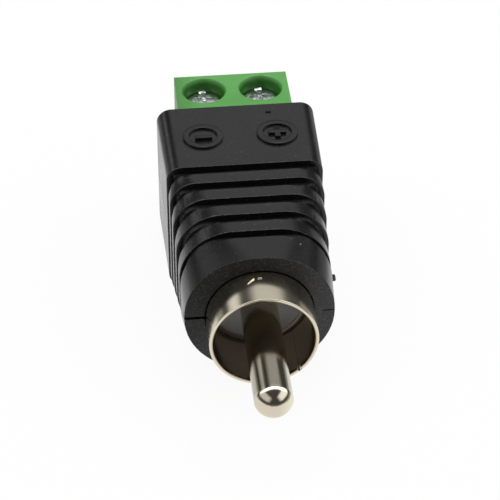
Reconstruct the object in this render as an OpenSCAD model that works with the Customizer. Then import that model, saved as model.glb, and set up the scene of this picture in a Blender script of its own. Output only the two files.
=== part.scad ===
// Phono plug with a two-way screw terminal, in millimetres.
// The plug points to -Y, the wires enter from +Y and the flat bottom lies on Z = 0.

/* [Housing] */
// Width of the closed housing at its rear face
housing_w = 14; // [13.8:0.1:17]
// Height of the closed housing
housing_h = 12.8; // [12.4:0.1:16]
// Length of the housing from its front face to its rear face
housing_len = 21.3; // [20.6:0.1:28]
// Radius of the four long corners
corner_r = 1.3; // [0.8:0.1:2]
// Thickness of the moulded walls
wall = 1.5; // [1.2:0.1:1.8]
// Thickness of the bulkhead that holds the insulator's flange
bulkhead_t = 1.2; // [0.8:0.1:2]

/* [Grip] */
// Width of the grip where it meets the rear block
grip_w = 13.5; // [13:0.1:13.8]
// Width of the rounded front face
nose_w = 12.5; // [12:0.1:13]
// Height of the rounded front face
nose_h = 11.7; // [11.4:0.1:12.2]
// Straight left at each side of the front face between its round corners
nose_flat = 0.1; // [0.05:0.05:1]
// Length of the plain band behind the front face
nose_len = 2.95; // [2.2:0.05:3.2]
// Number of finger grooves
groove_count = 5; // [2:1:5]
// Distance from one groove to the next
groove_pitch = 2.2; // [1.8:0.05:2.3]
// Width of a groove
groove_w = 0.65; // [0.4:0.05:1]
// Depth of a groove
groove_depth = 0.6; // [0.3:0.05:0.7]

/* [Parting line] */
// Width of the fine slit that shows between the two halves
seam_gap = 0.1; // [0.04:0.02:0.2]
// Depth of that slit
seam_depth = 0.4; // [0.2:0.05:0.6]
// Diameter of the pegs that line up the halves
peg_d = 0.8; // [0.6:0.05:0.9]
// Height of those pegs
peg_h = 1.2; // [0.8:0.1:2]
// Clearance between moulded pieces that fit together
moulded_fit = 0.05; // [0.02:0.01:0.1]

/* [Sleeve] */
// Inside diameter of the contact sleeve
sleeve_id = 8.5; // [8.2:0.05:8.8]
// Thickness of the rolled sheet
sleeve_t = 0.25; // [0.2:0.05:0.4]
// How far the sleeve stands out of the front face
sleeve_reach = 3.6; // [2.5:0.1:6]
// How far the sleeve runs into the housing, to the back of its flared rim
sleeve_depth = 5.4; // [4.8:0.1:6.4]
// How far the flared rim stands out from the sleeve
rim_step = 0.4; // [0.25:0.05:0.5]
// Width of the butt seam in the rolled sheet
roll_seam_w = 0.12; // [0.06:0.02:0.2]
// Place of that seam, in degrees below the plug's right-hand side
roll_seam_angle = 47; // [30:1:80]
// Width of the notch where the seam meets the lip
lip_notch_w = 0.45; // [0.2:0.05:0.8]
// Depth of that notch
lip_notch_depth = 0.3; // [0.1:0.05:0.5]
// Width of the soldering lug
lug_w = 2.4; // [1.6:0.1:3]
// Length of the soldering lug behind the rim
lug_len = 6.4; // [5:0.1:7]
// Clearance round the sleeve in the front face
sleeve_clear = 0.08; // [0.04:0.02:0.2]

/* [Insulator] */
// Depth of the insulator's face behind the sleeve's mouth
disc_depth = 5.4; // [4.4:0.1:6.5]
// Thickness of the insulator's flange
flange_t = 1.2; // [0.8:0.1:1.6]
// Height of the raised ring on its face
disc_ring_h = 0.2; // [0.1:0.05:0.4]
// Width of that ring
disc_ring_w = 0.35; // [0.2:0.05:0.6]
// Radial clearance of the sleeve and the pin on the insulator
turned_fit = 0.02; // [0.01:0.01:0.05]

/* [Pin] */
// Diameter of the pin
pin_d = 3.15; // [2.9:0.05:3.3]
// How far the pin's tip stands out of the sleeve's mouth
pin_reach = 8.3; // [6:0.1:11]
// Length of the pin's domed nose
pin_nose_len = 1.2; // [1:0.05:1.4]
// Depth of the fine crease behind that nose
pin_crease = 0.03; // [0.02:0.01:0.06]
// Wall of the hollow pin
pin_wall = 0.45; // [0.35:0.05:0.6]
// Length of the rolled collar behind the insulator
collar_len = 0.6; // [0.4:0.05:1]
// How far the collar stands out from the stem
collar_step = 0.5; // [0.3:0.05:0.8]
// Length of the solder cup
cup_len = 3.2; // [2.4:0.1:3.6]
// Wall of the solder cup
cup_wall = 0.35; // [0.25:0.05:0.5]
// Room round the collar in the bulkhead
collar_room = 1.2; // [0.8:0.1:1.6]

/* [Terminal] */
// Distance between the two screws
pitch = 5.08; // [5:0.01:5.4]
// How far the terminal stands out of the rear face
terminal_reach = 5.1; // [4.8:0.1:8]
// Step from the housing's top down to the terminal's top
terminal_drop = 0; // [0:0.05:0.6]
// Distance of the screws from the terminal's rear face
screw_setback = 2.4; // [2.3:0.05:2.5]
// Radius of a screw well at its rim
well_r = 1.98; // [1.9:0.01:2.05]
// Radius of a screw well below its taper
well_lower_r = 1.7; // [1.65:0.01:1.8]
// Depth of the tapered mouth of a screw well
well_taper = 0.6; // [0.3:0.05:0.8]
// Thickness of the web under a screw head
web_t = 0.8; // [0.6:0.05:1]
// Thickness of the floor under the clamps
floor_t = 0.95; // [0.7:0.05:1.4]
// Length of the tongue inside the housing
tongue_len = 6; // [4.5:0.1:6.5]
// Width of the neck in the rear opening
neck_w = 8.4; // [7.6:0.1:9]
// Height of the neck in the rear opening
neck_h = 7; // [6:0.1:8]
// Width of a wire entry
entry_w = 3; // [2.4:0.1:3.3]
// Size of the bevel round a wire entry
entry_bevel = 0.3; // [0.1:0.05:0.4]

/* [Clamp] */
// Pitch of the screw thread
thread_pitch = 0.45; // [0.35:0.05:0.5]
// Turns of the screw from open to closed
clamp_turns = 4; // [3:1:4]
// Diameter of a screw's shank
screw_d = 2.2; // [1.9:0.05:2.4]
// Diameter of a screw's head
head_d = 3; // [2.8:0.05:3.2]
// Height of a screw's head at its rim
head_h = 1.25; // [0.8:0.05:1.4]
// Rise of the crowned top above the rim
head_crown = 0.3; // [0.2:0.05:0.5]
// Width of the cross recess in a screw's head
cross_w = 0.5; // [0.4:0.05:0.7]
// Depth of that recess below the crown
cross_depth = 0.75; // [0.4:0.05:0.9]
// Length of that recess across the head
cross_len = 2.3; // [1.8:0.1:2.5]
// Width of a clamp cage
cage_w = 3.7; // [3.4:0.05:3.8]
// Length of a clamp cage along the wire
cage_len = 3.6; // [3.2:0.05:3.7]
// Thickness of the cage's threaded top
cage_top_t = 1.2; // [0.9:0.05:1.4]
// Thickness of the cage's floor
cage_floor_t = 0.6; // [0.4:0.05:0.8]
// Thickness of the cage's sides
cage_side_t = 0.5; // [0.35:0.05:0.6]
// Outer bend radius of the cage
cage_bend_r = 0.4; // [0.2:0.05:0.5]
// Clearance round the cage in its chamber and on the strip
cage_gap = 0.1; // [0.05:0.01:0.15]
// Radial clearance of the shank in the cage and the web
screw_fit = 0.05; // [0.02:0.01:0.1]

/* [Strips] */
// Thickness of a contact strip
strip_t = 0.6; // [0.4:0.05:0.8]
// Width of a contact strip in the clamp
strip_w = 2.2; // [1.6:0.1:2.5]
// Width of the tail that is soldered
tail_w = 1; // [0.7:0.05:1.2]
// Depth of the strip's underside below the plug's axis
strip_drop = 0.65; // [0.55:0.05:0.8]
// Overlap of a tail with its cup or lug
solder_len = 2; // [1.2:0.1:2.2]
// Reach of the solder up from a strip
solder_r = 0.9; // [0.6:0.05:1.1]
// Length of the straight tail in front of the tongue
tail_straight = 0.8; // [0.4:0.1:1.2]

/* [Hidden] */
$fn = 64;
over = 1;
inner_corner_r = 0.3;
slice_t = 0.01;
minus_x = -pitch / 2;
plus_x = pitch / 2;

// Stations along the plug
total_len = pin_reach + sleeve_reach + housing_len + terminal_reach;
y_tip = -total_len / 2;
y_mouth = y_tip + pin_reach;
y_front = y_mouth + sleeve_reach;
y_rear = y_front + housing_len;
y_end = y_rear + terminal_reach;
y_block = y_front + nose_len + (groove_count - 1) * groove_pitch + groove_w;
y_disc = y_mouth + disc_depth;
y_rim = y_front + sleeve_depth;
y_flange = y_rim + moulded_fit;
y_flange_back = y_flange + flange_t;
y_cavity = y_flange_back + moulded_fit + bulkhead_t;
y_rear_wall = y_rear - wall;
y_tongue = y_rear - tongue_len;
y_screw = y_end - screw_setback;
y_collar = y_flange_back + collar_len;
y_cup = y_collar + cup_len;
y_lug = y_rim + lug_len;

// Radii about the plug's axis
axis_z = housing_h / 2;
nose_corner_r = nose_h / 2 - nose_flat;
pin_r = pin_d / 2;
dome_r = (pow(pin_r, 2) + pow(pin_nose_len, 2)) / (2 * pin_nose_len);
sleeve_ir = sleeve_id / 2;
sleeve_or = sleeve_ir + sleeve_t;
flange_r = sleeve_or + rim_step;
disc_r = sleeve_ir - turned_fit;
cup_r = norm([tail_w / 2, strip_drop]) + moulded_fit;
stem_r = cup_r + cup_wall;
throat_r = stem_r + collar_step + collar_room;
lug_edge = sqrt(pow(sleeve_ir, 2) - pow(lug_w / 2, 2));
lug_tail_x = tail_w / 2 + moulded_fit - sqrt(pow(sleeve_ir, 2) - pow(strip_drop, 2));

// Heights in the terminal, from the strip upwards and downwards
travel = thread_pitch * clamp_turns;
strip_z = axis_z - strip_drop;
strip_top = strip_z + strip_t;
cage_roof = strip_top + cage_gap;
cage_top = cage_roof + cage_top_t;
cage_floor = strip_z - travel - cage_gap;
cage_bottom = cage_floor - cage_floor_t;
chamber_top = cage_top + travel + cage_gap;
chamber_bottom = cage_bottom - cage_gap;
seat_z = chamber_top + web_t;
terminal_top = housing_h - terminal_drop;
terminal_bottom = chamber_bottom - floor_t;
terminal_w = 2 * pitch;
cavity_w = grip_w - 2 * wall;
cavity_h = housing_h - 2 * wall;
tongue_w = cavity_w - 2 * moulded_fit;
tongue_h = cavity_h - 2 * moulded_fit;
chamber_w = cage_w + 2 * cage_gap;
chamber_len = cage_len + 2 * cage_gap;
y_chamber = y_screw + chamber_len / 2;

// Places of the pegs between the halves
peg_front = [(sleeve_or + sleeve_clear + nose_w / 2) / 2,
    y_front + nose_len + (groove_pitch + groove_w) / 2];
peg_rear = [(neck_w / 2 + housing_w / 2) / 2, y_rear - wall / 2];

black = [0.13, 0.13, 0.14];
green = [0.3, 0.6, 0.28];
nickel = [0.78, 0.76, 0.7];
zinc = [0.72, 0.74, 0.76];
tinned = [0.8, 0.79, 0.74];
milky = [0.62, 0.64, 0.64];
solder = [0.68, 0.68, 0.68];

// A block between two lengths and two heights, centred on x
module block(x, w, y0, y1, z0, z1) {
    translate([x - w / 2, y0, z0]) cube([w, y1 - y0, z1 - z0]);
}

// A round solid about the plug's axis, between two lengths
module turned(y0, y1, r) {
    translate([0, y1, axis_z]) rotate([90, 0, 0]) cylinder(h = y1 - y0, r = r);
}

module tube(y0, y1, outer, inner) {
    difference() {
        turned(y0, y1, outer);
        turned(y0 - over, y1 + over, inner);
    }
}

module upright(x, y, z0, z1, r) {
    translate([x, y, z0]) cylinder(h = z1 - z0, r = r);
}

module rounded_rect(w, h, r) {
    square([w - 2 * r, h], center = true);
    square([w, h - 2 * r], center = true);
    for (x = [-1, 1], z = [-1, 1])
        translate([x * (w / 2 - r), z * (h / 2 - r)]) circle(r = r);
}

// Corner radius of the rounded bar, drawn in by inset
function section_r(inset) = max(corner_r - inset, inner_corner_r);

// A thin slice across the plug, from which the grip is lofted
module slice(y, w, h, r) {
    translate([0, y + slice_t, axis_z]) rotate([90, 0, 0]) linear_extrude(slice_t) rounded_rect(w, h, r);
}

// The tapering grip, drawn in by inset, from the round nose to the rear block
module grip_form(inset) {
    hull() {
        slice(y_front, nose_w - 2 * inset, nose_h - 2 * inset, nose_corner_r - inset);
        slice(y_block - slice_t, grip_w - 2 * inset, housing_h - 2 * inset, section_r(inset));
    }
}

// The rear block, drawn in by inset, which widens a little to the rear face
module rear_form(inset) {
    hull() {
        slice(y_block, grip_w - 2 * inset, housing_h - 2 * inset, section_r(inset));
        slice(y_rear - slice_t, housing_w - 2 * inset, housing_h - 2 * inset, section_r(inset));
    }
}

// The finger grooves, which run right round the housing
module grooves() {
    difference() {
        for (index = [0 : groove_count - 1]) {
            y = y_front + nose_len + index * groove_pitch;
            block(0, 2 * housing_w, y, y + groove_w, -over, housing_h + over);
        }
        grip_form(groove_depth);
    }
}

// The fine slit between the halves, as deep in the grooves as it is elsewhere
module seam_slit() {
    difference() {
        block(0, 2 * housing_w, y_front - over, y_rear + over, axis_z - seam_gap / 2, axis_z + seam_gap / 2);
        intersection() {
            union() {
                grip_form(groove_depth + seam_depth);
                rear_form(groove_depth + seam_depth);
            }
            block(0, 2 * housing_w, y_front + seam_depth, y_rear - seam_depth, -over, housing_h + over);
        }
    }
}

// The space inside the housing: sleeve bore, flange slot, bulkhead throat, chamber and rear opening
module housing_inside() {
    lug_slot = sleeve_or + sleeve_clear;
    y_slot = y_rim - sleeve_t - moulded_fit;
    turned(y_front - over, y_slot + over, sleeve_or + sleeve_clear);
    turned(y_slot, y_flange_back + moulded_fit, flange_r + moulded_fit);
    turned(y_flange, y_cavity + over, throat_r);
    block(-lug_slot / 2, lug_slot, y_flange, y_cavity + over,
        axis_z - lug_w / 2 - sleeve_clear, axis_z + lug_w / 2 + sleeve_clear);
    intersection() {
        grip_form(wall);
        block(0, 2 * housing_w, y_cavity, y_block + over, -over, housing_h + over);
    }
    translate([0, y_rear_wall, axis_z]) rotate([90, 0, 0]) linear_extrude(y_rear_wall - y_block)
        rounded_rect(cavity_w, cavity_h, inner_corner_r);
    block(0, neck_w + 2 * moulded_fit, y_rear_wall - over, y_rear + over,
        axis_z - neck_h / 2 - moulded_fit, axis_z + neck_h / 2 + moulded_fit);
}

module pegs(fit, z0) {
    for (x = [-1, 1], place = [peg_front, peg_rear])
        upright(x * place[0], place[1], z0, axis_z + peg_h + fit, peg_d / 2 + fit);
}

// The housing between two heights, hollow and with its grooves and slit
module half_shell(z0, z1) {
    difference() {
        intersection() {
            union() {
                grip_form(0);
                rear_form(0);
            }
            block(0, 2 * housing_w, y_front - over, y_rear + over, z0, z1);
        }
        grooves();
        seam_slit();
        housing_inside();
    }
}

module upper_housing() {
    color(black) difference() {
        half_shell(axis_z, housing_h + over);
        pegs(moulded_fit, axis_z - over);
    }
}

module lower_housing() {
    color(black) union() {
        half_shell(-over, axis_z);
        pegs(0, axis_z - peg_h);
    }
}

// A rolled sheet tube with a flared rim, a butt seam, a notched lip and a soldering lug
module rca_sleeve() {
    color(nickel) difference() {
        union() {
            tube(y_mouth, y_rim, sleeve_or, sleeve_ir);
            tube(y_rim - sleeve_t, y_rim, flange_r, sleeve_ir);
            intersection() {
                tube(y_rim - sleeve_t, y_lug, sleeve_or, sleeve_ir);
                block(-sleeve_or, 2 * sleeve_t + sleeve_or, y_mouth, y_lug + over,
                    axis_z - lug_w / 2, axis_z + lug_w / 2);
            }
        }
        translate([0, 0, axis_z]) rotate([0, roll_seam_angle, 0]) {
            block(flange_r, 2 * flange_r, y_mouth - over, y_rim + over, -roll_seam_w / 2, roll_seam_w / 2);
            block(flange_r, 2 * flange_r, y_mouth - over, y_mouth + lip_notch_depth,
                -lip_notch_w / 2, lip_notch_w / 2);
        }
    }
}

// A bush that centres the pin in the sleeve, with a flange that the housing holds
module insulator() {
    color(milky) difference() {
        union() {
            turned(y_disc, y_flange_back, disc_r);
            tube(y_disc - disc_ring_h, y_disc + over, disc_r, disc_r - disc_ring_w);
            turned(y_flange, y_flange_back, flange_r);
        }
        turned(y_disc - over, y_flange_back + over, stem_r + turned_fit);
        block(-2 * lug_edge + sleeve_clear, 2 * lug_edge, y_rim - over, y_flange_back + over,
            axis_z - lug_w / 2 - sleeve_clear, axis_z + lug_w / 2 + sleeve_clear);
    }
}

// A hollow pin with a domed nose, a shoulder, a rolled collar and an open solder cup
module center_pin() {
    color(nickel) difference() {
        union() {
            intersection() {
                translate([0, y_tip + dome_r, axis_z]) sphere(r = dome_r);
                turned(y_tip - over, y_tip + pin_nose_len + pin_wall, pin_r - pin_crease);
            }
            turned(y_tip + pin_nose_len, y_disc, pin_r);
            turned(y_disc, y_cup, stem_r);
            turned(y_flange_back, y_collar, stem_r + collar_step);
        }
        turned(y_tip + pin_r, y_disc - pin_wall, pin_r - pin_wall);
        turned(y_tip + pin_r, y_cup + over, cup_r);
        block(0, 4 * stem_r, y_collar, y_cup + over, axis_z, axis_z + 2 * stem_r);
    }
}

// One way of the terminal: screw well, shank hole, clamp chamber, wire entry and strip slot
module terminal_way(x) {
    entry_z0 = cage_floor - entry_bevel / 2;
    entry_z1 = cage_roof + entry_bevel / 2;
    taper_slope = (well_r - well_lower_r) / well_taper;
    translate([x, y_screw, terminal_top - well_taper])
        cylinder(h = well_taper + over, r1 = well_lower_r, r2 = well_r + taper_slope * over);
    upright(x, y_screw, seat_z, terminal_top, well_lower_r);
    upright(x, y_screw, chamber_top - over, seat_z + over, screw_d / 2 + screw_fit);
    block(x, chamber_w, y_screw - chamber_len / 2, y_chamber, chamber_bottom, chamber_top);
    block(x, entry_w, y_chamber - over, y_end + over, entry_z0, entry_z1);
    hull() {
        block(x, entry_w, y_end - entry_bevel, y_end, entry_z0, entry_z1);
        block(x, entry_w + 2 * entry_bevel, y_end, y_end + entry_bevel,
            entry_z0 - entry_bevel, entry_z1 + entry_bevel);
    }
    block(x, strip_w + 2 * moulded_fit, y_tongue - over, y_screw,
        strip_z - moulded_fit, strip_top + moulded_fit);
}

// The moulded block: a head behind the housing, a neck in its rear wall and a tongue inside it
module terminal_body() {
    color(green) difference() {
        union() {
            block(0, terminal_w, y_rear, y_end, terminal_bottom, terminal_top);
            block(0, neck_w, y_rear_wall - over, y_rear + over, axis_z - neck_h / 2, axis_z + neck_h / 2);
            translate([0, y_rear_wall - moulded_fit, axis_z]) rotate([90, 0, 0])
                linear_extrude(tongue_len - wall - moulded_fit)
                    rounded_rect(tongue_w, tongue_h, inner_corner_r);
        }
        for (x = [minus_x, plus_x]) terminal_way(x);
    }
}

// A screw with a crowned head and a cross recess for the driver
module terminal_screw(x) {
    crown_r = (pow(head_d / 2, 2) + pow(head_crown, 2)) / (2 * head_crown);
    crown_z = seat_z + head_h + head_crown;
    color(zinc) difference() {
        union() {
            upright(x, y_screw, cage_roof, seat_z + head_h / 2, screw_d / 2);
            intersection() {
                upright(x, y_screw, seat_z, crown_z, head_d / 2);
                translate([x, y_screw, crown_z - crown_r]) sphere(r = crown_r);
            }
        }
        block(x, cross_len, y_screw - cross_w / 2, y_screw + cross_w / 2,
            crown_z - cross_depth, crown_z + over);
        block(x, cross_w, y_screw - cross_len / 2, y_screw + cross_len / 2,
            crown_z - cross_depth, crown_z + over);
    }
}

// A cage folded from strip, with a threaded top and an open way for the wire
module clamp_cage(x) {
    cage_h = cage_top - cage_bottom;
    color(zinc) difference() {
        translate([x, y_screw + cage_len / 2, cage_bottom + cage_h / 2]) rotate([90, 0, 0])
            linear_extrude(cage_len) rounded_rect(cage_w, cage_h, cage_bend_r);
        block(x, cage_w - 2 * cage_side_t, y_screw - cage_len, y_screw + cage_len, cage_floor, cage_roof);
        upright(x, y_screw, cage_roof - over, cage_top + over, screw_d / 2 + screw_fit);
    }
}

// A flat strip from a clamp, whose narrow tail runs across to the place where it is soldered
module contact_strip(x, tail_x, y_solder) {
    half = tail_w / 2;
    y_straight = y_tongue - tail_straight;
    y_across = y_solder + solder_len + tail_straight;
    color(tinned) translate([0, 0, strip_z]) linear_extrude(strip_t) polygon([
        [x - strip_w / 2, y_chamber - cage_gap], [x + strip_w / 2, y_chamber - cage_gap],
        [x + strip_w / 2, y_tongue], [x + half, y_tongue], [x + half, y_straight],
        [tail_x + half, y_across], [tail_x + half, y_solder],
        [tail_x - half, y_solder], [tail_x - half, y_across],
        [x - half, y_straight], [x - half, y_tongue], [x - strip_w / 2, y_tongue]
    ]);
}

module contact_strip_minus() {
    contact_strip(minus_x, lug_tail_x, y_lug - solder_len);
}

module contact_strip_plus() {
    contact_strip(plus_x, 0, y_cup - solder_len);
}

// A fillet of solder between the strip's tail and the lug
module lug_solder() {
    color(solder) intersection() {
        turned(y_lug - solder_len, y_lug, sleeve_ir - turned_fit);
        translate([-sleeve_ir, y_lug, strip_top]) rotate([90, 0, 0]) cylinder(h = solder_len, r = solder_r);
        block(0, 2 * sleeve_or, y_lug - solder_len, y_lug, strip_top, strip_top + solder_r);
    }
}

// Solder that fills the pin's cup above the strip's tail
module pin_solder() {
    color(solder) intersection() {
        turned(y_cup - solder_len, y_cup, cup_r - turned_fit);
        block(0, 2 * cup_r, y_cup - solder_len, y_cup, strip_top, strip_top + solder_r);
    }
}

upper_housing();
lower_housing();
rca_sleeve();
insulator();
center_pin();
terminal_body();
terminal_screw(minus_x);  // terminal_screw_minus
terminal_screw(plus_x);  // terminal_screw_plus
clamp_cage(minus_x);  // clamp_cage_minus
clamp_cage(plus_x);  // clamp_cage_plus
contact_strip_minus();
contact_strip_plus();
lug_solder();
pin_solder();
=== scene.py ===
import math
import bmesh
import bpy
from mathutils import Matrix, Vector


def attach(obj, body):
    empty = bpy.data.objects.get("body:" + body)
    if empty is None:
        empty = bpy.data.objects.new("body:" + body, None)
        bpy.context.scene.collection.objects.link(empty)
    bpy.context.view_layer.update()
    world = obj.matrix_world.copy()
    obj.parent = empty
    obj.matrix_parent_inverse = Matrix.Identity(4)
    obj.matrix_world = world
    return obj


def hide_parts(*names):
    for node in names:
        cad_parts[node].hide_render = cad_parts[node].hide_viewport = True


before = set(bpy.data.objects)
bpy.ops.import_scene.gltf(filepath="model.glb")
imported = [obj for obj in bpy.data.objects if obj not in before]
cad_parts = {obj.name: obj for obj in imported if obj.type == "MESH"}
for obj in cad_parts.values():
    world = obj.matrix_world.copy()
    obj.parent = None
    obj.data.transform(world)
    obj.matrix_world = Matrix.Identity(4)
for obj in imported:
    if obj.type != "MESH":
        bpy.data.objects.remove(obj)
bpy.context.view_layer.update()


# The photograph looks down on the plug from the front, a little to its left, from 18 cm away.
# A long lens keeps the sides of the housing almost parallel, and the nose of the pin is nearest.
camera_turn = -5.758
camera_height = 38.064
camera_distance = 0.180213
look_at = Vector((0.00027, 0.00349, 0.00475))


# The direction of a place turned round the plug and raised above the card by so many degrees.
def towards(turn, height):
    turn = math.radians(turn)
    height = math.radians(height)
    return Vector((math.sin(turn) * math.cos(height), -math.cos(turn) * math.cos(height), math.sin(height)))


camera_lens = bpy.data.cameras.new("photo_camera")
camera_lens.lens = 148.85
camera_lens.sensor_width = 36
camera_lens.clip_start = 0.01
camera = bpy.data.objects.new("photo_camera", camera_lens)
bpy.context.scene.collection.objects.link(camera)
back = towards(camera_turn, camera_height)
camera.location = look_at + back * camera_distance
camera.rotation_euler = back.to_track_quat("Z", "Y").to_euler()
bpy.context.scene.camera = camera
bpy.context.scene.view_settings.view_transform = "Standard"


# The plug lies on a sheet of white card that runs out of the picture on every side.
# The card keeps a faint shadow under the plug, and the plating mirrors where the white of it ends.
card_size = 6
card_glow = 0.93
card_end_grey = (0.12, 0.115, 0.11)
bpy.ops.object.select_all(action="DESELECT")
bpy.ops.mesh.primitive_plane_add(size=card_size, location=(0, 0, 0))
card = bpy.context.object
card.name = "white_card"
card_paper = bpy.data.materials.new("white_card")
card_paper.use_nodes = True
card_tree = card_paper.node_tree
card_tree.nodes.clear()


# Links what a node puts out to a socket, or sets that socket to a plain value or colour.
def feed(tree, term, socket):
    if isinstance(term, bpy.types.NodeSocket):
        tree.links.new(term, socket)
    elif socket.type == "RGBA":
        socket.default_value = (*term, 1)
    else:
        socket.default_value = term


def maths(tree, how, *terms):
    node = tree.nodes.new("ShaderNodeMath")
    node.operation = how
    for number, term in enumerate(terms):
        feed(tree, term, node.inputs[number])
    return node.outputs[0]


def vectors(tree, how, *terms):
    node = tree.nodes.new("ShaderNodeVectorMath")
    node.operation = how
    for number, term in enumerate(terms):
        feed(tree, term, node.inputs[number])
    return node.outputs["Value" if how in ("DOT_PRODUCT", "DISTANCE") else "Vector"]


# Fits a value that runs from start to end so that it runs from low to high, and no further.
def ramp(tree, source, start, end, low=0, high=1, ease="LINEAR"):
    fit = tree.nodes.new("ShaderNodeMapRange")
    fit.interpolation_type = ease
    terms = {"Value": source, "From Min": start, "From Max": end, "To Min": low, "To Max": high}
    for label, term in terms.items():
        feed(tree, term, fit.inputs[label])
    return fit.outputs["Result"]


def tint(tree, share, first, second):
    mix = tree.nodes.new("ShaderNodeMix")
    mix.data_type = "RGBA"
    for label, term in (("Factor", share), ("A", first), ("B", second)):
        feed(tree, term, mix.inputs[label])
    return mix.outputs["Result"]


def place_in(tree):
    return tree.nodes.new("ShaderNodeTexCoord").outputs["Object"]


def along_axis(tree, place, axis):
    return vectors(tree, "DOT_PRODUCT", place, axis)


card_place = place_in(card_tree)
card_past = 0
for across, forth, near, far, dark in ((1, 0, 0.03, 0.05, 0.75), (0, -1, 0.05, 0.075, 1),
                                       (-1, 1, 0.034, 0.07, 0.75), (1, 1, 0.022, 0.05, 0.75)):
    card_away = along_axis(card_tree, card_place, (across, forth, 0))
    card_end = ramp(card_tree, card_away, near, far, high=dark, ease="SMOOTHSTEP")
    card_past = maths(card_tree, "MAXIMUM", card_end, card_past)
card_path = card_tree.nodes.new("ShaderNodeLightPath")
card_dim = maths(card_tree, "MULTIPLY", card_past, card_path.outputs["Is Glossy Ray"])
card_white = card_tree.nodes.new("ShaderNodeEmission")
card_white.inputs["Strength"].default_value = 1
feed(card_tree, tint(card_tree, card_dim, (1, 1, 1), card_end_grey), card_white.inputs["Color"])
card_lit = card_tree.nodes.new("ShaderNodeBsdfDiffuse")
feed(card_tree, (0.9, 0.9, 0.9), card_lit.inputs["Color"])
card_seen = maths(card_tree, "MAXIMUM", card_path.outputs["Is Camera Ray"],
                  card_path.outputs["Is Glossy Ray"])
card_any = maths(card_tree, "MAXIMUM", card_seen, card_path.outputs["Is Transmission Ray"])
card_mix = card_tree.nodes.new("ShaderNodeMixShader")
card_out = card_tree.nodes.new("ShaderNodeOutputMaterial")
feed(card_tree, maths(card_tree, "MULTIPLY", card_any, card_glow), card_mix.inputs["Fac"])
feed(card_tree, card_lit.outputs[0], card_mix.inputs[1])
feed(card_tree, card_white.outputs[0], card_mix.inputs[2])
feed(card_tree, card_mix.outputs[0], card_out.inputs["Surface"])
card.data.materials.append(card_paper)


# A long soft box overhead lights the plug, with others on both sides and a dim screen behind.
# They fade towards their edges, and the room in front stays dark, which draws the bands in the plating.
edge_share = 0.3
room_grey = (0.07, 0.07, 0.07)
soft_edge = bpy.data.node_groups.new("soft_edge", "ShaderNodeTree")
soft_edge.interface.new_socket("Mask", in_out="OUTPUT", socket_type="NodeSocketFloat")
edge_place = soft_edge.nodes.new("ShaderNodeNewGeometry").outputs["Parametric"]
edge_fades = []
for axis in ((1, 0, 0), (0, 1, 0)):
    edge_fold = maths(soft_edge, "PINGPONG", along_axis(soft_edge, edge_place, axis), 0.5)
    edge_fades.append(ramp(soft_edge, edge_fold, 0, edge_share, ease="SMOOTHSTEP"))
edge_out = soft_edge.nodes.new("NodeGroupOutput")
feed(soft_edge, maths(soft_edge, "MULTIPLY", *edge_fades), edge_out.inputs["Mask"])


# Turn and height are in degrees, distance and size in metres, and a glow of 1 is white.
def soft_box(name, turn, height, distance, width, depth, glow):
    side = towards(turn, height)
    lamp = bpy.data.lights.new(name, "AREA")
    lamp.shape = "RECTANGLE"
    lamp.size = width
    lamp.size_y = depth
    lamp.energy = math.pi * width * depth * glow
    lamp.use_nodes = True
    fade = lamp.node_tree.nodes.new("ShaderNodeGroup")
    fade.node_tree = soft_edge
    feed(lamp.node_tree, fade.outputs["Mask"], lamp.node_tree.nodes["Emission"].inputs["Strength"])
    box = bpy.data.objects.new(name, lamp)
    bpy.context.scene.collection.objects.link(box)
    box.location = side * distance
    box.rotation_euler = side.to_track_quat("Z", "Y").to_euler()
    box.visible_camera = False


soft_box("box_above", 180, 78, 0.55, 1.7, 0.36, 3.6)
soft_box("box_left", -65, 30, 0.6, 1.25, 0.5, 0.68)
soft_box("box_left_rear", -108, 32, 0.6, 0.38, 0.5, 1.1)
soft_box("box_right", 69, 33, 0.6, 1.15, 0.54, 1.1)
soft_box("box_right_rear", 108, 36, 0.6, 0.38, 0.5, 1.1)
soft_box("screen_behind", 167, 40, 0.6, 0.64, 0.46, 0.56)
soft_box("screen_behind_left", -145, 20, 0.6, 0.18, 0.26, 0.85)
room = bpy.data.worlds.new("dim_room")
room.use_nodes = True
feed(room.node_tree, room_grey, room.node_tree.nodes["Background"].inputs["Color"])
bpy.context.scene.world = room


# The housing is two halves moulded in black plastic, its grip stepped in ribs between five grooves.
# The halves are pressed together on pegs, and their parting line stays open by a hair.
axis_z = 6.4
top_z = 12.8
front_y = -7.25
middle_y = 3.4
block_y = 5.15
rear_y = 14.05
nose_width = 12.5
nose_height = 11.7
nose_corner = 5.75
block_width = 13.5
block_corner = 1.3
rear_width = 14
first_groove_y = -4.3
groove_pitch = 2.2
groove_width = 0.65
groove_depth = 0.6
groove_count = 5
floor_nose_corner = 4.4
floor_block_corner = 0.06
rib_overlap = 0.2
rib_lead = 0.3
rib_rear_round = 0.28
rib_front_round = 0.05
spare = 0.1
wide = 20


def only(piece):
    bpy.ops.object.select_all(action="DESELECT")
    piece.select_set(True)
    bpy.context.view_layer.objects.active = piece


def edit(piece):
    only(piece)
    bpy.ops.object.mode_set(mode="EDIT")
    bpy.ops.mesh.select_all(action="SELECT")


def leave_edit():
    bpy.ops.object.mode_set(mode="OBJECT")


def choose(kind, wanted):
    bpy.ops.mesh.select_mode(type=kind)
    bpy.ops.mesh.select_all(action="DESELECT")
    mesh = bmesh.from_edit_mesh(bpy.context.object.data)
    parts = {"EDGE": mesh.edges, "FACE": mesh.faces}[kind]
    for part in parts:
        if wanted(part):
            part.select_set(True)
    mesh.select_flush_mode()
    bmesh.update_edit_mesh(bpy.context.object.data)


def join(pieces):
    only(pieces[0])
    for piece in pieces[1:]:
        piece.select_set(True)
    bpy.ops.object.join()


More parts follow.
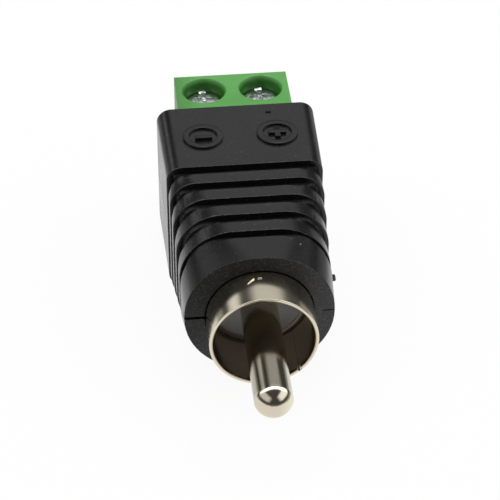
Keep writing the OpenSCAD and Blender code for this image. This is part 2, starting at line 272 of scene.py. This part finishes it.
def cross_section(y, width, height, corner):
    bpy.ops.object.select_all(action="DESELECT")
    bpy.ops.mesh.primitive_plane_add(size=1, location=(0, y, axis_z), rotation=(math.pi / 2, 0, 0))
    outline = bpy.context.object
    outline.scale = (width, height, 1)
    bpy.ops.object.transform_apply(location=True, rotation=True, scale=True)
    edit(outline)
    bpy.ops.mesh.bevel(offset=corner, offset_type="OFFSET", segments=16, affect="VERTICES", profile=0.5)
    bpy.ops.mesh.select_all(action="SELECT")
    bpy.ops.mesh.delete(type="ONLY_FACE")
    leave_edit()
    return outline


def skin(outlines):
    join(outlines)
    edit(outlines[0])
    bpy.ops.mesh.bridge_edge_loops(type="SINGLE")
    bpy.ops.mesh.select_all(action="SELECT")
    bpy.ops.mesh.fill_holes(sides=0)
    bpy.ops.mesh.normals_make_consistent(inside=False)
    leave_edit()
    return outlines[0]


def grip_and_block(inset, front_corner, rear_corner):
    nose = cross_section(front_y, nose_width - 2 * inset, nose_height - 2 * inset, front_corner)
    waist = cross_section(block_y, block_width - 2 * inset, top_z - 2 * inset, rear_corner)
    rear = cross_section(rear_y, rear_width - 2 * inset, top_z - 2 * inset, rear_corner)
    return skin([nose, waist, rear])


def block(x, y, z, width, length, height, turn=(0, 0, 0)):
    bpy.ops.object.select_all(action="DESELECT")
    bpy.ops.mesh.primitive_cube_add(size=1, location=(x, y, z), rotation=turn)
    made = bpy.context.object
    made.scale = (width, length, height)
    bpy.ops.object.transform_apply(location=True, rotation=True, scale=True)
    return made


def combine(piece, other, how):
    only(piece)
    step = piece.modifiers.new("combine", "BOOLEAN")
    step.object = other
    step.operation = how
    step.solver = "EXACT"
    bpy.ops.object.modifier_apply(modifier="combine")
    bpy.data.objects.remove(other)


# Draws a half outline of radius and place along the plug, then spins it about the plug's axis.
def turned(outline, steps=96, start=0.0):
    bpy.ops.object.select_all(action="DESELECT")
    bpy.ops.mesh.primitive_plane_add(size=1, location=(0, 0, 0))
    made = bpy.context.object
    edit(made)
    bpy.ops.mesh.select_mode(type="VERT")
    bpy.ops.mesh.merge(type="CENTER")
    here = Vector((0, 0, 0))
    for number, (radius, along) in enumerate(outline):
        there = Vector((radius * math.cos(start), along, axis_z - radius * math.sin(start)))
        if number == 0:
            bpy.ops.transform.translate(value=there - here)
        else:
            bpy.ops.mesh.extrude_vertices_move(TRANSFORM_OT_translate={"value": there - here})
        here = there
    bpy.ops.mesh.select_all(action="SELECT")
    bpy.ops.mesh.spin(steps=steps, angle=math.tau, center=(0, 0, axis_z), axis=(0, 1, 0))
    bpy.ops.mesh.select_all(action="SELECT")
    bpy.ops.mesh.remove_doubles(threshold=0.0005)
    bpy.ops.mesh.normals_make_consistent(inside=False)
    leave_edit()
    return made


def round_edges(piece, offset, segments):
    edit(piece)
    bpy.ops.mesh.bevel(offset=offset, segments=segments, affect="EDGES")
    leave_edit()


# A size of the grip at a place along it, from its sizes at the nose and at the block.
def between(at_nose, at_block, y):
    return at_nose + (at_block - at_nose) * (y - front_y) / (block_y - front_y)


# How far a place stands over the floor of the grooves, which has tighter corners than the grip has.
def over_floor(place):
    corner = between(floor_nose_corner, floor_block_corner, place.y)
    across = abs(place.x) - (between(nose_width, block_width, place.y) / 2 - groove_depth - corner)
    upward = abs(place.z - axis_z) - (between(nose_height, top_z, place.y) / 2 - groove_depth - corner)
    return math.hypot(max(across, 0), max(upward, 0)) - corner


def choose_rims(offset, least):
    rims = [first_groove_y + groove * groove_pitch + offset for groove in range(groove_count)]
    choose("EDGE", lambda edge: len(edge.link_faces) == 2 and edge.calc_face_angle() > math.radians(50)
           and all(over_floor(corner.co) > least and min(abs(corner.co.y - rim) for rim in rims) < 0.01
                   for corner in edge.verts))


# Each rib is trimmed to a straight step, a little smaller than the tapering grip.
housing = grip_and_block(0, nose_corner, block_corner)
for rib in range(groove_count - 1):
    rib_front = first_groove_y + rib * groove_pitch + groove_width - rib_overlap
    rib_rear = first_groove_y + (rib + 1) * groove_pitch + rib_overlap
    step_y = rib_front - rib_lead
    size = (between(nose_width, block_width, step_y), between(nose_height, top_z, step_y),
            between(nose_corner, block_corner, step_y))
    straight = skin([cross_section(rib_front - spare, *size), cross_section(rib_rear + spare, *size)])
    trim = block(0, (rib_front + rib_rear) / 2, axis_z, wide, rib_rear - rib_front, wide)
    combine(trim, straight, "DIFFERENCE")
    combine(housing, trim, "DIFFERENCE")
grooves = block(0, first_groove_y + groove_width / 2, axis_z, wide, groove_width, wide)
for groove in range(1, groove_count):
    groove_y = first_groove_y + groove * groove_pitch + groove_width / 2
    join([grooves, block(0, groove_y, axis_z, wide, groove_width, wide)])
combine(grooves, grip_and_block(groove_depth, floor_nose_corner, floor_block_corner), "DIFFERENCE")
combine(housing, grooves, "DIFFERENCE")
edit(housing)
choose_rims(0, 0.33)
bpy.ops.mesh.bevel(offset=rib_rear_round, segments=4, affect="EDGES", clamp_overlap=False)
choose_rims(groove_width, 0.12)
bpy.ops.mesh.bevel(offset=rib_front_round, segments=2, affect="EDGES", clamp_overlap=False)
bpy.ops.mesh.select_mode(type="FACE")
leave_edit()
rubbed = housing.data.attributes.new("rubbed", "FLOAT", "FACE")
for face in housing.data.polygons:
    rubbed.data[face.index].value = 1.0 if face.select else 0.0

# The moulding is hollow: a bore for the sleeve, a slot for the flange, a chamber and a rear opening,
# and a way through the bulkhead for the sleeve's lug.
bore_r = 4.58
slot_r = 5.2
throat_r = 3.37
slot_front = -2.15
slot_rear = -0.55
chamber_front = 0.65
chamber_rear = 12.55
bore = turned([(0, -8.5), (bore_r, -8.5), (bore_r, slot_front), (slot_r, slot_front), (slot_r, slot_rear),
               (throat_r, slot_rear), (throat_r, 1), (0, 1)])
combine(housing, bore, "DIFFERENCE")
chamber_y = (chamber_front + chamber_rear) / 2
combine(housing, block(0, chamber_y, axis_z, 10.5, chamber_rear - chamber_front, 9.8), "DIFFERENCE")
combine(housing, block(0, 13.5, axis_z, 8.5, 2.4, 7.1), "DIFFERENCE")
combine(housing, block(-3.2, 0.3, axis_z, 2.9, 2.2, 2.6), "DIFFERENCE")

# The parting line is a fine slit, and on the left of the sleeve the front of it gapes.
slit_width = 0.1
slit_depth = 1.0
slit = block(0, middle_y, axis_z, wide, 24, slit_width)
core = grip_and_block(slit_depth, nose_corner - slit_depth, block_corner - slit_depth)
combine(slit, core, "DIFFERENCE")
combine(housing, slit, "DIFFERENCE")
gape = block(-5.6, -7.2, axis_z + 0.02, 2.6, 1.6, 0.26)
combine(housing, gape, "DIFFERENCE")

only(housing)
bpy.ops.object.duplicate()
lower_half = bpy.context.object
upper_half = housing
combine(upper_half, block(0, middle_y, axis_z + 5, wide, 30, 10), "INTERSECT")
combine(lower_half, block(0, middle_y, axis_z - 5, wide, 30, 10), "INTERSECT")

# The polarity signs stand a little proud of the top: a ring round a minus on the left, a plus on the right.
mark_sink = 0.3


def raise_mark(mark, height):
    edit(mark)
    bpy.ops.mesh.extrude_region_move(TRANSFORM_OT_translate={"value": (0, 0, mark_sink + height)})
    bpy.ops.mesh.select_all(action="SELECT")
    bpy.ops.mesh.normals_make_consistent(inside=False)
    choose("EDGE", lambda edge: all(corner.co.z > top_z for corner in edge.verts)
           and any(abs(face.normal.z) < 0.5 for face in edge.link_faces))
    bpy.ops.mesh.bevel(offset=0.05, segments=2, affect="EDGES")
    leave_edit()
    combine(upper_half, mark, "UNION")


def ring_mark(x, y, outer, inner, height):
    bpy.ops.object.select_all(action="DESELECT")
    bpy.ops.mesh.primitive_circle_add(vertices=64, radius=outer, fill_type="NGON",
                                      location=(x, y, top_z - mark_sink))
    mark = bpy.context.object
    bpy.ops.object.transform_apply(location=True, rotation=True, scale=True)
    edit(mark)
    bpy.ops.mesh.inset(thickness=outer - inner, depth=0)
    bpy.ops.mesh.delete(type="FACE")
    leave_edit()
    raise_mark(mark, height)


def bar_mark(x, y, length, width, height):
    bpy.ops.object.select_all(action="DESELECT")
    bpy.ops.mesh.primitive_plane_add(size=1, location=(x, y, top_z - mark_sink))
    mark = bpy.context.object
    mark.scale = (length, width, 1)
    bpy.ops.object.transform_apply(location=True, rotation=True, scale=True)
    raise_mark(mark, height)


ring_mark(-3.24, 9.45, 1.75, 1.22, 0.21)
bar_mark(-3.2, 9.2, 1.5, 0.45, 0.3)
ring_mark(3.25, 9.45, 1.8, 1.25, 0.21)
bar_mark(3.25, 9.5, 1.55, 0.5, 0.24)
bar_mark(3.25, 9.5, 0.5, 1.55, 0.238)
bar_mark(2.82, 12.8, 0.45, 0.16, 0.12)

# A small lump of flash is left on the right, where the two halves of the mould met.
flash = block(6.45, -2.85, axis_z - 0.2, 0.9, 0.62, 0.36)
round_edges(flash, 0.1, 2)
combine(lower_half, flash, "UNION")

# Meshes are made in millimetres. A finished piece is brought to metres, and its shading is settled.
millimetre = 0.001
weld = 0.0000005


def settle(piece, name, body, node, smooth=35):
    only(piece)
    piece.name = name
    piece.data.name = name
    piece.scale = (millimetre, millimetre, millimetre)
    bpy.ops.object.transform_apply(location=True, rotation=True, scale=True)
    edit(piece)
    bpy.ops.mesh.remove_doubles(threshold=weld)
    leave_edit()
    bpy.ops.object.shade_smooth_by_angle(angle=math.radians(smooth))
    weight = piece.modifiers.new("weigh", "WEIGHTED_NORMAL")
    weight.keep_sharp = True
    bpy.ops.object.modifier_apply(modifier="weigh")
    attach(piece, body)
    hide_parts(node)


settle(upper_half, "housing_top", "plug", "upper_housing")
settle(lower_half, "housing_bottom", "plug", "lower_housing")


# Makes a material, and gives it with its node tree and its surface shader.
def finish_of(name, color, roughness, metallic=0.0):
    made = bpy.data.materials.new(name)
    made.use_nodes = True
    shader = made.node_tree.nodes["Principled BSDF"]
    for label, term in (("Base Color", color), ("Roughness", roughness), ("Metallic", metallic)):
        feed(made.node_tree, term, shader.inputs[label])
    return made, made.node_tree, shader


def give(pieces, material):
    for piece in pieces:
        piece.data.materials.clear()
        piece.data.materials.append(material)


def noise(tree, place, size, detail, roughness=0.5):
    texture = tree.nodes.new("ShaderNodeTexNoise")
    for label, term in (("Vector", place), ("Scale", size), ("Detail", detail), ("Roughness", roughness)):
        feed(tree, term, texture.inputs[label])
    return texture.outputs["Fac"]


def cells(tree, place, size):
    texture = tree.nodes.new("ShaderNodeTexVoronoi")
    feed(tree, place, texture.inputs["Vector"])
    feed(tree, size, texture.inputs["Scale"])
    return texture.outputs["Distance"], texture.outputs["Color"]


def stretched(tree, place, scale):
    stretch = tree.nodes.new("ShaderNodeMapping")
    feed(tree, place, stretch.inputs["Vector"])
    feed(tree, scale, stretch.inputs["Scale"])
    return stretch.outputs["Vector"]


# Fine unevenness that a mould or a rolled sheet leaves: a height, a slow change of shade and a few specks.
surface_grain = bpy.data.node_groups.new("surface_grain", "ShaderNodeTree")
for label in ("Grain Size", "Cloud Size"):
    surface_grain.interface.new_socket(label, in_out="INPUT", socket_type="NodeSocketFloat")
for label in ("Grain", "Cloud", "Speck"):
    surface_grain.interface.new_socket(label, in_out="OUTPUT", socket_type="NodeSocketFloat")
grain_in = surface_grain.nodes.new("NodeGroupInput")
grain_out = surface_grain.nodes.new("NodeGroupOutput")
grain_place = place_in(surface_grain)
grain_fine = noise(surface_grain, grain_place, grain_in.outputs["Grain Size"], 4, 0.6)
grain_cloud = noise(surface_grain, grain_place, grain_in.outputs["Cloud Size"], 3)
speck_size = maths(surface_grain, "MULTIPLY", grain_in.outputs["Grain Size"], 1.4)
grain_speck = ramp(surface_grain, noise(surface_grain, grain_place, speck_size, 2), 0.66, 0.78, high=0.5)
feed(surface_grain, grain_fine, grain_out.inputs["Grain"])
feed(surface_grain, grain_cloud, grain_out.inputs["Cloud"])
feed(surface_grain, grain_speck, grain_out.inputs["Speck"])


def add_grain(tree, grain_size, cloud_size):
    grain = tree.nodes.new("ShaderNodeGroup")
    grain.node_tree = surface_grain
    feed(tree, grain_size, grain.inputs["Grain Size"])
    feed(tree, cloud_size, grain.inputs["Cloud Size"])
    return grain.outputs


# Most of a noise lies in the middle half of its range, which is spread from low to high.
def spread(tree, source, low, high):
    return ramp(tree, source, 0.25, 0.75, low, high)


def bumps(tree, height, strength, distance, shader):
    bump = tree.nodes.new("ShaderNodeBump")
    for label, term in (("Height", height), ("Strength", strength), ("Distance", distance)):
        feed(tree, term, bump.inputs[label])
    feed(tree, bump.outputs["Normal"], shader.inputs["Normal"])


black_plastic, black_tree, black_shader = finish_of("black_plastic", (0.012, 0.012, 0.0125), 0.3)
black_grain = add_grain(black_tree, 3200, 300)
black_place = place_in(black_tree)
black_y = along_axis(black_tree, black_place, (0, 1, 0))

# The front face keeps the coarse sparked texture of the mould, is dullest at its upper left, and is painted
# darker than the rest, as shade.
# The rest is only faintly uneven.
front_face = -0.00718
black_front = maths(black_tree, "LESS_THAN", black_y, front_face)
black_lean = along_axis(black_tree, black_place, (1, 0, -1))
black_dull = ramp(black_tree, black_lean, -0.0146, 0.0004, 0.5, 0.04)
black_satin = spread(black_tree, black_grain["Cloud"], 0.2, 0.28)
black_matt = maths(black_tree, "MULTIPLY_ADD", black_front, black_dull, black_satin)
feed(black_tree, black_matt, black_shader.inputs["Roughness"])
# Bright cells on the front face are painted pale, as glints, and they also raise its bumps.
black_spark, black_spark_shade = cells(black_tree, black_place, 4600)
black_dot = ramp(black_tree, black_spark, 0.55, 0.2)
black_shine = ramp(black_tree, black_spark_shade, 0.45, 0.72, high=0.36)
black_glint = maths(black_tree, "MULTIPLY", black_dot, black_shine)
black_front_texture_and_glints = maths(black_tree, "MULTIPLY", black_glint, black_front)
black_height = maths(black_tree, "MULTIPLY_ADD", black_front_texture_and_glints, 5, black_grain["Grain"])
bumps(black_tree, black_height, 0.25, 0.00006, black_shader)

# Handling has worn the edges of the ribs, and has left fine pale scuffs across them, most of them
# along the rear edge of each rib.
black_edge = black_tree.nodes.new("ShaderNodeAttribute")
black_edge.attribute_name = "rubbed"
black_wear = ramp(black_tree, black_grain["Grain"], 0.5, 0.62, high=0.5)
black_worn = maths(black_tree, "MULTIPLY", black_wear, black_edge.outputs["Fac"])
black_light = maths(black_tree, "MAXIMUM", black_worn, black_grain["Speck"])
black_turns = maths(black_tree, "MULTIPLY_ADD", black_y, 1 / (groove_pitch * millimetre),
                    -first_groove_y / groove_pitch)
black_rear = ramp(black_tree, maths(black_tree, "FRACT", black_turns), 0.55, 0.95)
black_ribs = maths(black_tree, "COMPARE", black_y, 0.0005, 0.0048)
black_here = maths(black_tree, "MULTIPLY", black_rear, black_ribs)
black_scuff = noise(black_tree, stretched(black_tree, black_place, (900, 6000, 900)), 1, 4, 0.7)
black_lines = ramp(black_tree, black_scuff, 0.56, 0.74, high=0.7)
# The painted glints of the front face are added to the scuffs here.
black_scuffs_and_glints = maths(black_tree, "MULTIPLY_ADD", black_here, black_lines, black_front_texture_and_glints)
black_pale = maths(black_tree, "MAXIMUM", black_light, black_scuffs_and_glints)

# A few crumbs of pale dust lie on it.
black_dust, black_dust_shade = cells(black_tree, black_place, 800)
black_crumb = ramp(black_tree, black_dust, 0.085, 0.04)
black_few = maths(black_tree, "GREATER_THAN", black_dust_shade, 0.78)
black_lint = maths(black_tree, "MULTIPLY", black_crumb, black_few)
# The front face is painted darker than the rest of the moulding, as shade.
black_base_front_shaded = tint(black_tree, black_front, (0.008, 0.008, 0.0086), (0.003, 0.003, 0.0032))
black_worn_and_glinting = tint(black_tree, black_pale, black_base_front_shaded, (0.1, 0.1, 0.102))
black_dusty = tint(black_tree, black_lint, black_worn_and_glinting, (0.2, 0.2, 0.195))
feed(black_tree, black_dusty, black_shader.inputs["Base Color"])
give([upper_half, lower_half], black_plastic)


# The contact sleeve is rolled from sheet metal and plated with nickel. Its edges butt at the lower right,
# its lip is drawn in a little, and its flared rim sits in a slot of the housing.
sleeve_in = 4.25
sleeve_out = 4.5
flare_r = 4.9
sheet = 0.25
mouth_y = -10.85
rim_y = -1.85
lip_in = 4.2
lip_round = 0.06
lip_bend = 0.02
lug_half_width = 1.2
lug_length = 6.4
seam_turn = math.radians(47)
sleeve = turned(
    [(lip_in, mouth_y + lip_round), (lip_in + lip_bend, mouth_y + lip_bend), (lip_in + lip_round, mouth_y),
     (sleeve_out - lip_round, mouth_y), (sleeve_out - lip_bend, mouth_y + lip_bend),
     (sleeve_out, mouth_y + lip_round), (sleeve_out, rim_y - sheet), (flare_r, rim_y - sheet),
     (flare_r, rim_y), (sleeve_out, rim_y), (sleeve_in, rim_y),
     (sleeve_in, mouth_y + 1.4), (lip_in, mouth_y + 0.5), (lip_in, mouth_y + lip_round)],
    steps=144, start=seam_turn)
edit(sleeve)
choose("FACE", lambda face: face.normal.y > 0.9 and face.calc_center_median().x < 0
       and abs(face.calc_center_median().z - axis_z) < lug_half_width
       and (face.calc_center_median() - Vector((0, rim_y, axis_z))).length < sleeve_out)
bpy.ops.mesh.extrude_region_move(TRANSFORM_OT_translate={"value": (0, lug_length, 0)})
leave_edit()


# Where the two edges of the sheet meet there is a fine groove inside and outside, and a nick in the lip.
def seam_cut(radius, along, thick, length, width):
    across = radius * math.cos(seam_turn)
    height = axis_z - radius * math.sin(seam_turn)
    combine(sleeve, block(across, along, height, thick, length, width, (0, seam_turn, 0)), "DIFFERENCE")


for radius in (sleeve_in, sleeve_out):
    seam_cut(radius, -6.2, 0.16, 12, 0.07)
seam_cut(4.26, mouth_y, 0.36, 0.7, 0.32)


# Two small burrs stand on top of it, just in front of the housing.
def burr(x, y, z, width, turn):
    lump = block(x, y, z, width, 0.12, 0.2, turn)
    round_edges(lump, 0.05, 3)
    join([sleeve, lump])


burr(-0.86, -8.34, 10.79, 0.8, (0, -0.19, 0.73))
burr(-0.1, -8.12, 10.88, 0.36, (0, 0, 0.1))
settle(sleeve, "contact_sleeve", "plug", "rca_sleeve", smooth=40)

# Its inside is coloured darker and browner than its outside, so the finish goes by how far a place is from
# the plug's axis.
axis_reach = bpy.data.node_groups.new("axis_reach", "ShaderNodeTree")
axis_reach.interface.new_socket("Radius", in_out="OUTPUT", socket_type="NodeSocketFloat")
reach_flat = vectors(axis_reach, "MULTIPLY", place_in(axis_reach), (1, 0, 1))
reach_radius = vectors(axis_reach, "DISTANCE", reach_flat, (0, 0, axis_z * millimetre))
reach_out = axis_reach.nodes.new("NodeGroupOutput")
feed(axis_reach, reach_radius, reach_out.inputs["Radius"])


def beyond(tree, start, end):
    reach = tree.nodes.new("ShaderNodeGroup")
    reach.node_tree = axis_reach
    return ramp(tree, reach.outputs["Radius"], start, end)


nickel_sheet, sheet_tree, sheet_shader = finish_of("nickel_sheet", (0.8, 0.73, 0.58), 0.16, 1.0)
sheet_grain = add_grain(sheet_tree, 1800, 420)
sheet_outside = beyond(sheet_tree, 0.00427, 0.00433)
sheet_plating = tint(sheet_tree, sheet_outside, (0.45, 0.37, 0.28), (0.75, 0.685, 0.545))
feed(sheet_tree, sheet_plating, sheet_shader.inputs["Base Color"])
feed(sheet_tree, spread(sheet_tree, sheet_grain["Cloud"], 0.15, 0.23), sheet_shader.inputs["Roughness"])
bumps(sheet_tree, sheet_grain["Cloud"], 0.15, 0.00008, sheet_shader)
give([sleeve], nickel_sheet)


# The insulator is a disc moulded in grey plastic that holds the pin in the middle of the sleeve.
# A thin raised ring runs round its face, painted with a highlight on its right and shade on its left, and
# its edge where it meets the sleeve is painted dark as shadow.
grey_plastic, grey_tree, grey_shader = finish_of("grey_plastic", (0.42, 0.43, 0.43), 0.45)
grey_grain = add_grain(grey_tree, 2600, 320)
grey_lit_side = ramp(grey_tree, along_axis(grey_tree, place_in(grey_tree), (1, 0, 0)), -0.001, 0.0015)
grey_disc = tint(grey_tree, grey_grain["Cloud"], (0.5, 0.52, 0.53), (0.6, 0.61, 0.61))
# The ring's right side is painted light brown as a highlight and its left dark brown as shade. Past it, a
# painted shadow runs round the edge.
grey_ring_lit_and_shaded = tint(grey_tree, grey_lit_side, (0.2, 0.17, 0.14), (0.75, 0.66, 0.52))
grey_face = tint(grey_tree, beyond(grey_tree, 0.00386, 0.0039), grey_disc, grey_ring_lit_and_shaded)
grey_rim_painted_shadow = tint(grey_tree, beyond(grey_tree, 0.00403, 0.00409), grey_face, (0.17, 0.14, 0.115))
feed(grey_tree, grey_rim_painted_shadow, grey_shader.inputs["Base Color"])
bumps(grey_tree, grey_grain["Grain"], 0.2, 0.00005, grey_shader)
give([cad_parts["insulator"]], grey_plastic)


# The centre pin is drawn from brass and plated with nickel, hollow, with a round nose.
# It is pressed through the insulator and rolled over behind it, and its end is a solder cup.
pin_r = 1.575
nose_y = -19.15
nose_r = 1.634
nose_steps = 16
crease = 0.02
stem_r = 1.22
shoulder_y = -5.45
collar_r = 1.72
collar_y = -0.6
cup_r = 0.87
cup_floor = 0.4
cup_end = 3.2
pin_outline = [(0, nose_y)]
for step in range(1, nose_steps + 1):
    lean = math.asin(pin_r / nose_r) * step / nose_steps
    pin_outline.append((nose_r * math.sin(lean), nose_y + nose_r * (1 - math.cos(lean))))
pin_outline += [(pin_r, pin_outline[-1][1] + crease), (pin_r, shoulder_y), (stem_r, shoulder_y),
                (stem_r, collar_y), (collar_r, collar_y), (collar_r, 0), (stem_r, 0),
                (stem_r, cup_end), (cup_r, cup_end), (cup_r, cup_floor), (0, cup_floor)]
pin = turned(pin_outline)
combine(pin, block(0, 1.7, axis_z + 1, 4, 3.4, 2), "DIFFERENCE")
settle(pin, "pin", "plug", "center_pin", smooth=40)
nickel_pin, pin_tree, pin_shader = finish_of("nickel_pin", (0.7, 0.63, 0.52), 0.1, 1.0)
pin_grain = add_grain(pin_tree, 1800, 420)
pin_place = place_in(pin_tree)
# The pin is painted lighter on its right side, as light, and darker along its shank behind the nose, as
# shade.
pin_behind = ramp(pin_tree, along_axis(pin_tree, pin_place, (0, 1, 0)), -0.0181, -0.0176)
pin_lit_side = ramp(pin_tree, along_axis(pin_tree, pin_place, (1, 0, 0)), 0.0003, 0.0012)
pin_nose_lit_and_shaded = tint(pin_tree, pin_lit_side, (0.66, 0.6, 0.48), (0.8, 0.73, 0.59))
pin_shank_painted_shade = tint(pin_tree, pin_lit_side, (0.42, 0.38, 0.305), (0.56, 0.505, 0.41))
feed(pin_tree, tint(pin_tree, pin_behind, pin_nose_lit_and_shaded, pin_shank_painted_shade), pin_shader.inputs["Base Color"])
pin_bright = spread(pin_tree, pin_grain["Cloud"], 0.08, 0.13)
pin_satin = maths(pin_tree, "MULTIPLY_ADD", pin_behind, 0.05, pin_bright)
feed(pin_tree, pin_satin, pin_shader.inputs["Roughness"])
pin_scratch = noise(pin_tree, stretched(pin_tree, pin_place, (6000, 250, 6000)), 1, 3)
bumps(pin_tree, pin_scratch, 0.12, 0.00004, pin_shader)
give([pin], nickel_pin)


# The terminal is a block moulded in green plastic that is held by its tongue inside the housing.
# Two tapered wells in its top lead down to the screws, and are painted dark deep inside, as shade.
way_x = 2.54
way_y = 16.75
well_r = 2.03


def soften(piece, width):
    only(piece)
    rounding = piece.modifiers.new("soften", "BEVEL")
    rounding.width = width
    rounding.segments = 2
    rounding.limit_method = "ANGLE"
    rounding.angle_limit = math.radians(40)
    bpy.ops.object.modifier_apply(modifier="soften")


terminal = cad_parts["terminal_body"].copy()
terminal.data = terminal.data.copy()
bpy.context.scene.collection.objects.link(terminal)
edit(terminal)
bpy.ops.mesh.remove_doubles(threshold=weld)
bpy.ops.mesh.select_all(action="SELECT")
bpy.ops.mesh.dissolve_limited(angle_limit=math.radians(0.5))
leave_edit()
soften(terminal, 0.07 * millimetre)
terminal.name = "terminal_block"
bpy.ops.object.shade_smooth_by_angle(angle=math.radians(35))
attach(terminal, "plug")
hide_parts("terminal_body")
green_plastic, green_tree, green_shader = finish_of("green_plastic", (0.1, 0.34, 0.09), 0.4)
green_grain = add_grain(green_tree, 2600, 260)
green_place = place_in(green_tree)
green_flat = vectors(green_tree, "ABSOLUTE", vectors(green_tree, "MULTIPLY", green_place, (1, 1, 0)))
green_reach = vectors(green_tree, "DISTANCE", green_flat, (way_x * millimetre, way_y * millimetre, 0))
green_well = maths(green_tree, "LESS_THAN", green_reach, well_r * millimetre)
green_depth = ramp(green_tree, along_axis(green_tree, green_place, (0, 0, 1)), 0.01279, 0.01235)
green_well_shade = maths(green_tree, "MULTIPLY", green_well, green_depth)
# The left end of the block is painted darker, as shade.
green_shaded_left = ramp(green_tree, along_axis(green_tree, green_place, (1, 0, 0)), -0.005, -0.003)
green_cloudy = tint(green_tree, green_grain["Cloud"], (0.095, 0.34, 0.075), (0.12, 0.39, 0.095))
green_face_shaded_left = tint(green_tree, green_shaded_left, (0.075, 0.26, 0.06), green_cloudy)
# Deep in the wells the green is painted dark, as shade.
green_wells_painted_shade = tint(green_tree, green_well_shade, green_face_shaded_left, (0.02, 0.13, 0.01))
feed(green_tree, green_wells_painted_shade, green_shader.inputs["Base Color"])
bumps(green_tree, green_grain["Grain"], 0.2, 0.00005, green_shader)
give([terminal], green_plastic)


# The terminal screws are steel with bright zinc plating, with a cross struck into a crowned head.
# Turning one lifts its clamp cage.
head_r = 1.5
head_depth = 1.25
head_z = 10.975
shank_inset = 0.4
shank_length = 3.9
cross_length = 2.3
cross_width = 0.45
cross_z = 11.75
cross_depth = 0.8
cross_taper = 0.12


# The cross narrows downwards, as the punch that struck it did.
def drive_cut(x, width, length):
    cut = block(x, way_y, cross_z, width, length, cross_depth)
    edit(cut)
    choose("FACE", lambda face: face.normal.z < -0.9)
    bpy.ops.transform.resize(value=(1 - cross_taper / width, 1 - cross_taper / length, 1))
    leave_edit()
    return cut


# The punch also threw up a burr behind the cross.
def terminal_screw(x, name, node, body):
    bpy.ops.object.select_all(action="DESELECT")
    bpy.ops.mesh.primitive_cylinder_add(vertices=64, radius=head_r, depth=head_depth,
                                        location=(x, way_y, head_z))
    screw = bpy.context.object
    bpy.ops.object.transform_apply(location=True, rotation=True, scale=True)
    edit(screw)
    choose("FACE", lambda face: face.normal.z > 0.9)
    for step, lift in ((0.15, 0.1), (0.25, 0.09), (0.35, 0.07), (0.4, 0.04)):
        bpy.ops.mesh.inset(thickness=step, depth=lift)
    choose("FACE", lambda face: face.normal.z < -0.9)
    bpy.ops.mesh.inset(thickness=shank_inset, depth=0)
    bpy.ops.mesh.extrude_region_move(TRANSFORM_OT_translate={"value": (0, 0, -shank_length)})
    leave_edit()
    combine(screw, block(x - 0.1, 17.97, 11.74, 0.62, 0.24, 0.22, (math.radians(20), 0, 0.2)), "UNION")
    combine(screw, drive_cut(x, cross_length, cross_width), "DIFFERENCE")
    combine(screw, drive_cut(x, cross_width, cross_length), "DIFFERENCE")
    soften(screw, 0.06)
    settle(screw, name, body, node, smooth=40)
    return screw


screw_left = terminal_screw(-way_x, "screw_minus_zinc", "terminal_screw_minus", "screw_minus")
screw_right = terminal_screw(way_x, "screw_plus_zinc", "terminal_screw_plus", "screw_plus")
zinc_bright, zinc_tree, zinc_shader = finish_of("zinc_bright", (0.92, 0.94, 0.94), 0.3, 1.0)
zinc_grain = add_grain(zinc_tree, 2200, 1400)
# Low on the head and down the shank the zinc is painted dark, as shade in the wells.
zinc_depth = ramp(zinc_tree, along_axis(zinc_tree, place_in(zinc_tree), (0, 0, 1)), 0.0113, 0.0109)
zinc_low_painted_shade = tint(zinc_tree, zinc_depth, (0.67, 0.7, 0.69), (0.2, 0.21, 0.2))
feed(zinc_tree, zinc_low_painted_shade, zinc_shader.inputs["Base Color"])
feed(zinc_tree, spread(zinc_tree, zinc_grain["Cloud"], 0.14, 0.32), zinc_shader.inputs["Roughness"])
bumps(zinc_tree, zinc_grain["Cloud"], 0.8, 0.0002, zinc_shader)
give([screw_left, screw_right], zinc_bright)


# The clamp cages are folded from steel strip and zinc plated. Each hangs on its screw
# and lifts the wire against the contact strip.
# They take the screws' finish, with its painted shade low down.
give([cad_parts["clamp_cage_minus"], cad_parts["clamp_cage_plus"]], zinc_bright)


# The contact strips are stamped from brass sheet and tinned. Each lies over its clamp,
# and its tail runs forward to the sleeve's lug or to the pin.
tinned, tinned_tree, tinned_shader = finish_of("tinned_brass", (0.62, 0.61, 0.56), 0.4, 1.0)
tinned_grain = add_grain(tinned_tree, 2000, 500)
tinned_plating = tint(tinned_tree, tinned_grain["Cloud"], (0.54, 0.53, 0.48), (0.68, 0.67, 0.62))
feed(tinned_tree, tinned_plating, tinned_shader.inputs["Base Color"])
feed(tinned_tree, spread(tinned_tree, tinned_grain["Cloud"], 0.32, 0.5), tinned_shader.inputs["Roughness"])
bumps(tinned_tree, tinned_grain["Grain"], 0.2, 0.00003, tinned_shader)
give([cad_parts["contact_strip_minus"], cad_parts["contact_strip_plus"]], tinned)


# Two joints of solder hold the strips' tails, one on the sleeve's lug and one in the pin's cup.
# They were run in molten, and have set smooth and grey.
solder, solder_tree, solder_shader = finish_of("solder_grey", (0.52, 0.52, 0.51), 0.35, 1.0)
solder_grain = add_grain(solder_tree, 1500, 600)
solder_shade = tint(solder_tree, solder_grain["Cloud"], (0.44, 0.44, 0.43), (0.58, 0.58, 0.57))
feed(solder_tree, solder_shade, solder_shader.inputs["Base Color"])
feed(solder_tree, spread(solder_tree, solder_grain["Cloud"], 0.28, 0.45), solder_shader.inputs["Roughness"])
bumps(solder_tree, solder_grain["Cloud"], 0.3, 0.0001, solder_shader)
give([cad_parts["lug_solder"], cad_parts["pin_solder"]], solder)
